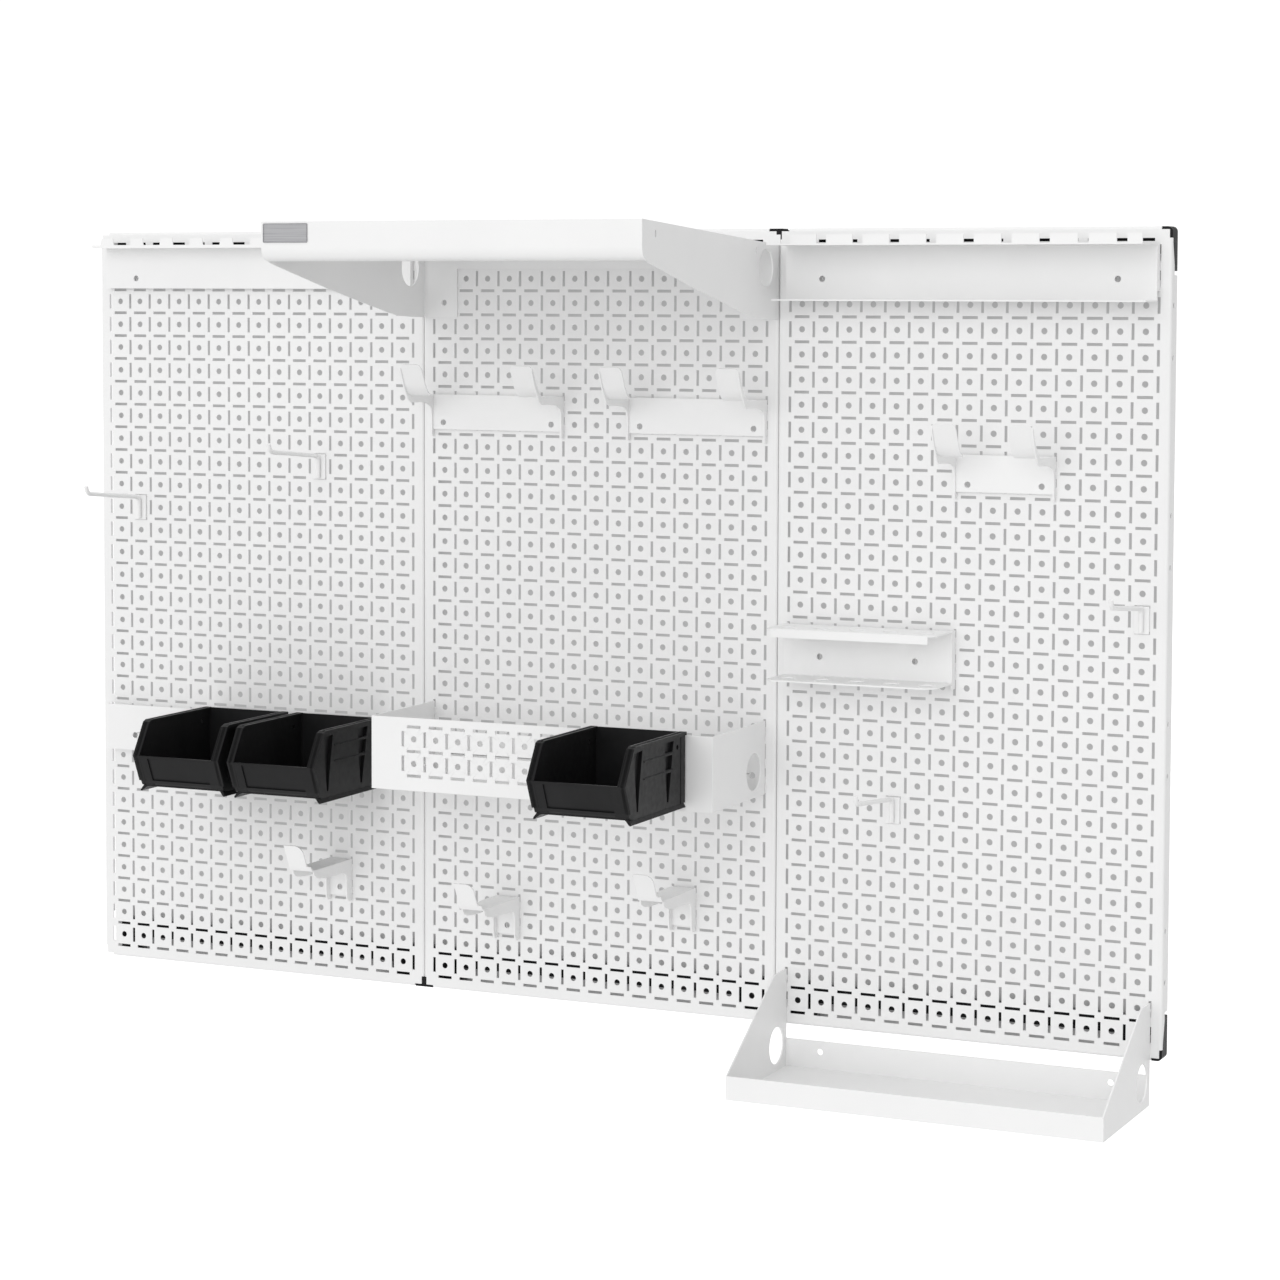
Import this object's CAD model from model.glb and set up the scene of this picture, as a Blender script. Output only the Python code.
import math

import bmesh
import bpy
from mathutils import Matrix, Vector
from mathutils.geometry import tessellate_polygon


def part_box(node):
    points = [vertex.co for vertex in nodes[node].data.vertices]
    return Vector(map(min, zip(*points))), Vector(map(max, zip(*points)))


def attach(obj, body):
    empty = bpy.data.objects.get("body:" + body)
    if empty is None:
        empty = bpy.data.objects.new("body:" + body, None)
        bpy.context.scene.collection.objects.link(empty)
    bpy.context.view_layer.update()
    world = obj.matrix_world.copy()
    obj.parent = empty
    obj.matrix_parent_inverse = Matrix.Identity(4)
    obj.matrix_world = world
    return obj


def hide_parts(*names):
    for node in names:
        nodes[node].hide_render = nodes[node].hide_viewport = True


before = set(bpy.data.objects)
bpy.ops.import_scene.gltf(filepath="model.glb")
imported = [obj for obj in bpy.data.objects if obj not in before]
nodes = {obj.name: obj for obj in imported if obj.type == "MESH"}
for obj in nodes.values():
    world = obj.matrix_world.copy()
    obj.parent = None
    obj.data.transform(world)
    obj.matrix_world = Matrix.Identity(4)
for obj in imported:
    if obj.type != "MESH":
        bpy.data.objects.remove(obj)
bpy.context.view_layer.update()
scene = bpy.context.scene
MM = 0.001


# ---------------------------------------------------------------- materials

def material(name):
    m = bpy.data.materials.new(name)
    m.use_nodes = True
    nt = m.node_tree
    nt.nodes.clear()
    out = nt.nodes.new("ShaderNodeOutputMaterial")
    bsdf = nt.nodes.new("ShaderNodeBsdfPrincipled")
    nt.links.new(bsdf.outputs["BSDF"], out.inputs["Surface"])
    return m, nt, bsdf


def noise(nt, scale, detail=2.0, rough=0.5, stretch=None):
    co = nt.nodes.new("ShaderNodeTexCoord")
    src = co.outputs["Object"]
    if stretch:
        mp = nt.nodes.new("ShaderNodeMapping")
        mp.inputs["Scale"].default_value = stretch
        nt.links.new(src, mp.inputs["Vector"])
        src = mp.outputs["Vector"]
    n = nt.nodes.new("ShaderNodeTexNoise")
    n.inputs["Scale"].default_value = scale
    n.inputs["Detail"].default_value = detail
    n.inputs["Roughness"].default_value = rough
    nt.links.new(src, n.inputs["Vector"])
    return n.outputs["Fac"]


def mapped(nt, src, lo, hi, a=0.3, b=0.7):
    r = nt.nodes.new("ShaderNodeMapRange")
    r.inputs["From Min"].default_value = a
    r.inputs["From Max"].default_value = b
    r.inputs["To Min"].default_value = lo
    r.inputs["To Max"].default_value = hi
    nt.links.new(src, r.inputs["Value"])
    return r.outputs["Result"]


def mixed(nt, fac, a, b):
    m = nt.nodes.new("ShaderNodeMix")
    m.data_type = "RGBA"
    m.inputs[6].default_value = (*a, 1)
    m.inputs[7].default_value = (*b, 1)
    nt.links.new(fac, m.inputs[0])
    return m.outputs[2]


def bump(nt, bsdf, layers):
    last = None
    for src, strength, distance in layers:
        b = nt.nodes.new("ShaderNodeBump")
        b.inputs["Strength"].default_value = strength
        b.inputs["Distance"].default_value = distance
        nt.links.new(src, b.inputs["Height"])
        if last is not None:
            nt.links.new(last, b.inputs["Normal"])
        last = b.outputs["Normal"]
    nt.links.new(last, bsdf.inputs["Normal"])


def powder_coat(name, light, dark, rough):
    """White powder coat on sheet steel: a fine orange peel, and cloudy variation in tone and gloss."""
    m, nt, p = material(name)
    cloud = noise(nt, 9.0, 4.0, 0.6)
    nt.links.new(mixed(nt, mapped(nt, cloud, 0, 1), dark, light), p.inputs["Base Color"])
    speck = noise(nt, 420.0, 2.0)
    nt.links.new(mapped(nt, speck, rough - 0.05, rough + 0.06), p.inputs["Roughness"])
    p.inputs["Specular IOR Level"].default_value = 0.4
    bump(nt, p, [(noise(nt, 60.0, 2.0), 0.05, 0.0006), (noise(nt, 900.0, 3.0, 0.6), 0.10, 0.00012)])
    return m


def moulded(name, light, dark, rough, grain, specular=0.2):
    """Moulded black plastic: satin with a fine grain and faint flow marks."""
    m, nt, p = material(name)
    flow = noise(nt, 30.0, 3.0, 0.55, (1, 1, 0.35))
    nt.links.new(mixed(nt, mapped(nt, flow, 0, 1), dark, light), p.inputs["Base Color"])
    nt.links.new(mapped(nt, noise(nt, 160.0, 3.0), rough - 0.06, rough + 0.08), p.inputs["Roughness"])
    p.inputs["Specular IOR Level"].default_value = specular
    bump(nt, p, [(noise(nt, 45.0, 2.0), 0.06, 0.0008), (noise(nt, grain, 2.0, 0.7), 0.12, 0.0001)])
    return m


def brushed(name, light, dark, rough):
    m, nt, p = material(name)
    lines = noise(nt, 1200.0, 2.0, 0.5, (0.02, 1, 1))
    nt.links.new(mixed(nt, mapped(nt, lines, 0, 1), dark, light), p.inputs["Base Color"])
    nt.links.new(mapped(nt, lines, rough - 0.06, rough + 0.08), p.inputs["Roughness"])
    p.inputs["Metallic"].default_value = 1.0
    bump(nt, p, [(lines, 0.1, 0.00005)])
    return m


WHITE = powder_coat("white_powder_coat", (0.865, 0.865, 0.863), (0.84, 0.84, 0.84), 0.42)
PANEL = powder_coat("white_panel_coat", (0.845, 0.845, 0.843), (0.825, 0.825, 0.825), 0.46)
BLACK = moulded("black_bracket_plastic", (0.013, 0.013, 0.014), (0.009, 0.009, 0.010), 0.5, 1100.0, 0.15)
BIN = moulded("black_bin_plastic", (0.013, 0.013, 0.0135), (0.009, 0.009, 0.0095), 0.38, 1400.0, 0.14)
SILVER = brushed("silver_plate_rim", (0.32, 0.32, 0.33), (0.24, 0.24, 0.25), 0.35)
FACE = brushed("plate_face", (0.40, 0.40, 0.41), (0.30, 0.30, 0.31), 0.45)


def set_material(obj, mat):
    obj.data.materials.clear()
    obj.data.materials.append(mat)
    for p in obj.data.polygons:
        p.material_index = 0


def soften(obj, width, segments=2, angle=32, smooth=False):
    """Rounds the edges of a sheet or moulding, as the coat or the mould does."""
    w = obj.modifiers.new("weld", "WELD")
    w.merge_threshold = 0.00001
    b = obj.modifiers.new("round", "BEVEL")
    b.width = width
    b.segments = segments
    b.limit_method = "ANGLE"
    b.angle_limit = math.radians(angle)
    b.harden_normals = False
    b.use_clamp_overlap = True
    b.miter_outer = "MITER_ARC"
    if not smooth:
        return
    for p in obj.data.polygons:
        p.use_smooth = True
    n = obj.modifiers.new("flatten", "WEIGHTED_NORMAL")
    n.mode = "FACE_AREA"
    n.weight = 100
    n.keep_sharp = False


for name, obj in nodes.items():
    if "bracket" in name or "strips" in name:
        set_material(obj, BLACK)
    elif name.startswith("panel_"):
        set_material(obj, PANEL)
    elif name.startswith("bin_") and name != "bin_rail":
        set_material(obj, BIN)
    else:
        set_material(obj, WHITE)


# ---------------------------------------------------------------- mesh helpers

def add_plate(bm, outline, holes, place, thickness):
    """A closed plate: outline and holes are (a, b) lists, place maps (a, b, c) to a point, c runs from 0 to thickness."""
    loops = [list(outline)] + [list(h) for h in holes]
    flat = [Vector((a, b, 0)) for loop in loops for a, b in loop]
    tris = tessellate_polygon([[Vector((a, b, 0)) for a, b in loop] for loop in loops])
    low = [bm.verts.new(place(v.x, v.y, 0)) for v in flat]
    high = [bm.verts.new(place(v.x, v.y, thickness)) for v in flat]
    made = []
    for t in tris:
        made.append(bm.faces.new([low[i] for i in t]))
        made.append(bm.faces.new([high[i] for i in reversed(t)]))
    start = 0
    for loop in loops:
        n = len(loop)
        for i in range(n):
            a, b = start + i, start + (i + 1) % n
            made.append(bm.faces.new([low[a], low[b], high[b], high[a]]))
        start += n
    return made


def finish_mesh(bm, name, mat, smooth=40):
    bmesh.ops.recalc_face_normals(bm, faces=bm.faces)
    bmesh.ops.dissolve_limit(bm, angle_limit=math.radians(0.5), verts=bm.verts, edges=bm.edges)
    bmesh.ops.triangulate(bm, faces=[f for f in bm.faces if len(f.verts) > 4], ngon_method="EAR_CLIP")
    me = bpy.data.meshes.new(name)
    bm.to_mesh(me)
    bm.free()
    obj = bpy.data.objects.new(name, me)
    scene.collection.objects.link(obj)
    me.materials.append(mat)
    for p in me.polygons:
        p.use_smooth = False
    return obj


def arc(cx, cy, r, a0, a1, n):
    return [(cx + r * math.cos(math.radians(a0 + (a1 - a0) * i / n)), cy + r * math.sin(math.radians(a0 + (a1 - a0) * i / n))) for i in range(n + 1)]


# ---------------------------------------------------------------- the bins

def make_bin(node, body):
    lo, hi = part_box(node)
    w = (hi.x - lo.x) / MM
    x0, z0 = lo.x, lo.z
    # the hanger lip stands 8.4 mm behind the bin's back, which is d = 0
    back = hi.y - 8.4 * MM
    h_top = (hi.z - lo.z) / MM
    P = lambda u, d, h: Vector((x0 + u * MM, back - d * MM, z0 + h * MM))
    across = lambda u0: (lambda d, h, c: P(u0 + c, d, h))
    bm = bmesh.new()
    e, t, skin, out = 4.4, 1.7, 1.6, 1.7
    top = h_top
    front = [(122, top), (126.5, top - 2.0), (129.4, top - 7), (147, 39.5), (134.5, 11.5), (132, 7), (126, 5)]
    # side walls: an inner sheet with an outer skin that the wedge-shaped pockets are cut from
    wall = [(0, 5), (0, top)] + front
    pocket_a = [(102.5, top - 6), (121.5, top - 7.5), (119.5, 40), (115.5, 11), (112.8, 11), (108.5, 40)]
    pocket_b1 = [(27.5, top - 6), (49.5, top - 6), (48.6, 59.4), (30.2, 59.4)]
    pocket_b2 = [(30.6, 56.2), (48.3, 56.2), (47.2, 42.6), (33.2, 42.6)]
    pocket_b3 = [(33.7, 39.4), (47.0, 39.4), (43.2, 10.5), (40.0, 10.5)]
    hole = arc(22 - 3.5, 60 + 2, 2.5, 0, -330, 11)
    for m in (0, 1):
        side_at = (lambda c0: (lambda d, h, c: P(c0 + c, d, h))) if m == 0 else (lambda c0: (lambda d, h, c: P(w - c0 - c, d, h)))
        add_plate(bm, wall, [pocket_a, pocket_b1, pocket_b2, pocket_b3, hole], side_at(e - 0.6 - out), skin + out + 0.05)
        add_plate(bm, [(0.4, 5.4), (0.4, top - 0.2), (121.8, top - 0.2), (126.2, top - 2.3), (129.1, top - 7.2), (146.6, 39.5), (134.2, 11.7), (131.7, 7.3), (125.7, 5.4)],
                  [hole], side_at(e + skin - 0.6), t)
        # rolled rim along the top and down the sloping front edge
        rim = [(0, top - 3.4), (0, top), (121.4, top), (126.5, top - 2.0), (129.4, top - 7), (147, 39.5), (134.5, 11.5), (131.6, 12.8), (143.4, 39.5), (126.6, top - 8.0), (124.6, top - 4.8), (120.8, top - 3.4)]
        add_plate(bm, rim, [], side_at(0), e + t + 1.6)
        # bead round the mouth, inside the rim
        bead = [(4, top - 1.6), (4, top + 0.0), (121.0, top + 0.0), (126.9, top - 2.4), (129.9, top - 6.6), (147.6, 39.5), (146.2, 39.5), (128.4, top - 7.0), (125.7, top - 3.4), (120.7, top - 1.6)]
        add_plate(bm, bead, [], side_at(e + t + 1.3), 0.9)
        # thin ribs across the side
        for h in (57.8, 41.0):
            add_plate(bm, [(28, h - 0.7), (28, h + 0.7), (99, h + 0.7), (99, h - 0.7)], [], side_at(e - 1.2 - out), 1.0)
        # raised rear edge
        add_plate(bm, [(0, 5), (0, top - 3), (10, top - 3), (10, 5)], [], side_at(e - 1.0 - out), 0.8)
        # flared runner at the base
        rail = lambda d, c, k: P((c if m == 0 else w - c), d, k)
        prof = [(e + 3.2, 7.6), (e - 0.4, 7.2), (0.9, 2.2), (0.2, 0.6), (1.6, 0.0), (3.2, 1.2), (e + 2.6, 4.6), (e + 3.4, 4.8)]
        ends = [(1.5, 1.0), (130.5, 1.0)]
        rows = []
        for d, s in ends:
            rows.append([bm.verts.new(rail(d if k > 3 else d + (2.0 if d > 60 else 0), c, k)) for c, k in prof])
        n = len(prof)
        for i in range(n):
            bm.faces.new([rows[0][i], rows[0][(i + 1) % n], rows[1][(i + 1) % n], rows[1][i]])
        bm.faces.new(rows[0])
        bm.faces.new(list(reversed(rows[1])))
    # floor, back and low front wall
    inner = (e + 1.0, w - e - 1.0)
    box_ = lambda u0, u1, outline: add_plate(bm, outline, [], lambda d, h, c: P(u0 + c, d, h), u1 - u0)
    box_(inner[0], inner[1], [(0.2, 5.2), (0.2, 7.6), (130.5, 7.6), (130.5, 5.2)])
    box_(inner[0], inner[1], [(0, 5.1), (0, top - 0.3), (2.4, top - 0.3), (2.4, 5.1)])
    # the low front wall slopes out to its lip; its middle lies back between two narrow uprights
    box_(e, e + 12.4, [(126.5, 5.2), (131.8, 7.2), (134.3, 11.6), (146.9, 39.5), (144.2, 39.5), (131.9, 12.6), (129.6, 7.6), (126.5, 7.6)])
    box_(w - e - 12.4, w - e, [(126.5, 5.2), (131.8, 7.2), (134.3, 11.6), (146.9, 39.5), (144.2, 39.5), (131.9, 12.6), (129.6, 7.6), (126.5, 7.6)])
    box_(e + 12.2, w - e - 12.2, [(126.5, 5.2), (130.9, 7.6), (133.0, 12.2), (145.2, 39.2), (143.2, 39.2), (131.0, 12.8), (128.9, 7.6), (126.5, 7.6)])
    box_(e, w - e, [(146.0, 36.9), (147.0, 39.6), (143.6, 39.6), (143.0, 38.4)])
    box_(e + 12.2, w - e - 12.2, [(130.6, 6.8), (132.6, 8.9), (134.6, 12.0), (133.4, 12.6), (130.0, 8.4)])
    # hanger lip behind
    box_(e, w - e, [(0.6, top - 0.4), (-8.4, top - 1.7), (-8.4, top - 10.5), (-6.0, top - 10.5), (-6.0, top - 4.0), (0.6, top - 2.8)])
    obj = finish_mesh(bm, node + "_moulding", BIN)
    soften(obj, 0.00045, 2, 25)
    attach(obj, body)
    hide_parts(node)
    return obj


for n in ("bin_left", "bin_middle", "bin_right"):
    make_bin(n, n)


# ---------------------------------------------------------------- the name plate, left blank

def name_plate():
    lo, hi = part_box("shelf_name_plate")
    w, h, t = (hi.x - lo.x), (hi.z - lo.z), (hi.y - lo.y)
    y_back = hi.y
    P = lambda a, b, c: Vector((lo.x + a, y_back - c, lo.z + b))
    def rounded(m, r):
        c = [(w - m - r, h - m - r, 0), (m + r, h - m - r, 90), (m + r, m + r, 180), (w - m - r, m + r, 270)]
        return [q for x, y, a in c for q in arc(x, y, r, a, a + 90, 5)]
    bm = bmesh.new()
    add_plate(bm, rounded(0, 0.0012), [rounded(0.0011, 0.0008)], P, t)
    rim = finish_mesh(bm, "name_plate_rim", SILVER)
    soften(rim, 0.0002, 2, 40)
    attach(rim, "top_shelf")
    bm = bmesh.new()
    add_plate(bm, rounded(0.0008, 0.0008), [], P, t * 0.6)
    face = finish_mesh(bm, "name_plate_face", FACE)
    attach(face, "top_shelf")
    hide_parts("shelf_name_plate")


name_plate()

for name, obj in nodes.items():
    if name.startswith("panel_") or obj.hide_render:
        continue
    if name.startswith("bin_") and name != "bin_rail":
        continue
    # the long flat sheets stay as they are: a bevel would draw their slivers as lines
    if name in ("left_top_rail", "right_top_rail", "screwdriver_rack", "bottom_shelf"):
        for p in obj.data.polygons:
            p.use_smooth = False
        continue
    soften(obj, 0.0003, 2, 32, smooth=True)


# ---------------------------------------------------------------- stage

def plane(name, corners, mat):
    me = bpy.data.meshes.new(name)
    me.from_pydata(corners, [], [(0, 1, 2, 3)])
    o = bpy.data.objects.new(name, me)
    scene.collection.objects.link(o)
    me.materials.append(mat)
    return o


m, nt, p = material("pale_floor")
p.inputs["Base Color"].default_value = (0.93, 0.93, 0.93, 1)
p.inputs["Roughness"].default_value = 0.9
p.inputs["Emission Color"].default_value = (1, 1, 1, 1)
p.inputs["Emission Strength"].default_value = 0.35
floor = plane("floor", [(-30, -30, -1.15), (30, -30, -1.15), (30, 30, -1.15), (-30, 30, -1.15)], m)
floor.visible_diffuse = False

# the wall behind the panels shows through their holes, in their shade: a card in the panels' back plane, seen from the front only
m, nt, p = material("wall_in_shade")
p.inputs["Base Color"].default_value = (0.6, 0.6, 0.602, 1)
p.inputs["Roughness"].default_value = 1.0
p.inputs["Specular IOR Level"].default_value = 0.0
tr = nt.nodes.new("ShaderNodeBsdfTransparent")
mix = nt.nodes.new("ShaderNodeMixShader")
geo = nt.nodes.new("ShaderNodeNewGeometry")
nt.links.new(geo.outputs["Backfacing"], mix.inputs[0])
nt.links.new(p.outputs[0], mix.inputs[1])
nt.links.new(tr.outputs[0], mix.inputs[2])
nt.links.new(mix.outputs[0], nt.nodes["Material Output"].inputs["Surface"])
lo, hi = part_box("panel_left")
lo2, hi2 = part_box("panel_right")
x0, x1, z0, z1 = lo.x + 0.003, hi2.x - 0.003, lo.z + 0.003, hi.z - 0.003
card = plane("wall_card", [(x0, 0.0006, z0), (x1, 0.0006, z0), (x1, 0.0006, z1), (x0, 0.0006, z1)], m)
card.visible_diffuse = card.visible_glossy = card.visible_transmission = card.visible_shadow = False

world = bpy.data.worlds.new("studio")
scene.world = world
world.use_nodes = True
nt = world.node_tree
nt.nodes.clear()
out = nt.nodes.new("ShaderNodeOutputWorld")
bg = nt.nodes.new("ShaderNodeBackground")
bg.inputs["Color"].default_value = (1, 1, 1, 1)
co = nt.nodes.new("ShaderNodeTexCoord")
sep = nt.nodes.new("ShaderNodeSeparateXYZ")
nt.links.new(co.outputs["Generated"], sep.inputs[0])
# a little brighter from below and from the left
lift = nt.nodes.new("ShaderNodeMapRange")
lift.inputs["From Min"].default_value = -0.2
lift.inputs["From Max"].default_value = 0.2
lift.inputs["To Min"].default_value = 0.84
lift.inputs["To Max"].default_value = 0.80
nt.links.new(sep.outputs["Z"], lift.inputs["Value"])
turn = nt.nodes.new("ShaderNodeMath")
turn.operation = "MULTIPLY_ADD"
turn.inputs[1].default_value = -0.09
nt.links.new(sep.outputs["X"], turn.inputs[0])
nt.links.new(lift.outputs["Result"], turn.inputs[2])
nt.links.new(turn.outputs[0], bg.inputs["Strength"])
seen = nt.nodes.new("ShaderNodeBackground")
seen.inputs["Color"].default_value = (1, 1, 1, 1)
seen.inputs["Strength"].default_value = 1.1
path = nt.nodes.new("ShaderNodeLightPath")
mix = nt.nodes.new("ShaderNodeMixShader")
nt.links.new(path.outputs["Is Camera Ray"], mix.inputs[0])
nt.links.new(bg.outputs[0], mix.inputs[1])
nt.links.new(seen.outputs[0], mix.inputs[2])
nt.links.new(mix.outputs[0], out.inputs["Surface"])


def sun(name, to_light, strength, angle):
    d = bpy.data.lights.new(name, "SUN")
    d.energy = strength
    d.angle = math.radians(angle)
    o = bpy.data.objects.new(name, d)
    o.rotation_mode = "QUATERNION"
    o.rotation_quaternion = Vector(to_light).to_track_quat("Z", "Y")
    scene.collection.objects.link(o)


sun("key", (0.0, -0.985, 0.17), 0.91, 45)
sun("top", (0.05, -0.15, 0.987), 0.42, 40)

cam = bpy.data.cameras.new("camera")
cam.sensor_width = 36.0
cam.lens = 3343.881 / 1280 * 36.0
cam.shift_x = (640 - 580) / 1280
cam.shift_y = (500 - 640) / 1280
cam.clip_start, cam.clip_end = 0.1, 100
co = bpy.data.objects.new("camera", cam)
scene.collection.objects.link(co)
co.matrix_world = Matrix((
    (0.905343, -0.028610, 0.423716, 1.462195),
    (0.424675, 0.055599, -0.903637, -3.177284),
    (0.002295, 0.998043, 0.062486, 0.343210),
    (0, 0, 0, 1),
))
scene.camera = co
scene.view_settings.view_transform = "Standard"
scene.view_settings.look = "None"
